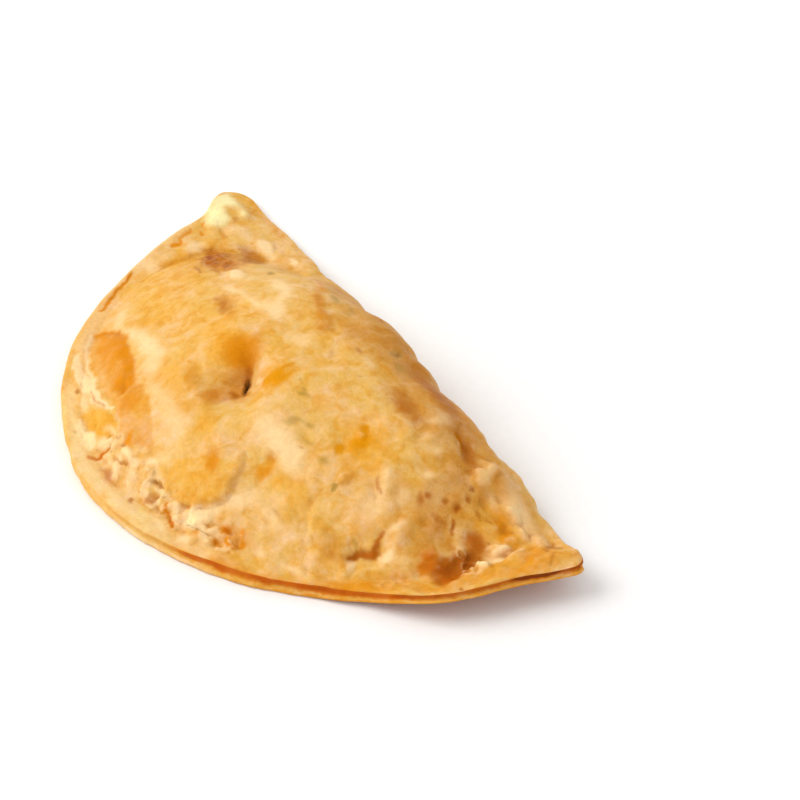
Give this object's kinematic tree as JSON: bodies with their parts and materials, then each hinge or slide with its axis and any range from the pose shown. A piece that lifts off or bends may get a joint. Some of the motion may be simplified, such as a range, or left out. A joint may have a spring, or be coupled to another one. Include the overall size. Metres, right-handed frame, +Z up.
{
  "type": "empanada",
  "caption": "Baked half-moon empanada with a flat pressed rim, a domed filled middle and a steam slit on top.",
  "frame": {"origin": "on the table, under the middle of the bounding box", "axes": "+X along the straight folded side from the tail corner to the lifted nose corner, +Y out of the folded side, away from the curved rim, +Z up"},
  "size_m": [0.1626, 0.08, 0.0243],
  "materials": {
    "baked_dough": "satin baked crust, golden with amber blisters"
  },
  "bodies": {
    "root": {"crust": "baked_dough"}
  },
  "joints": []
}
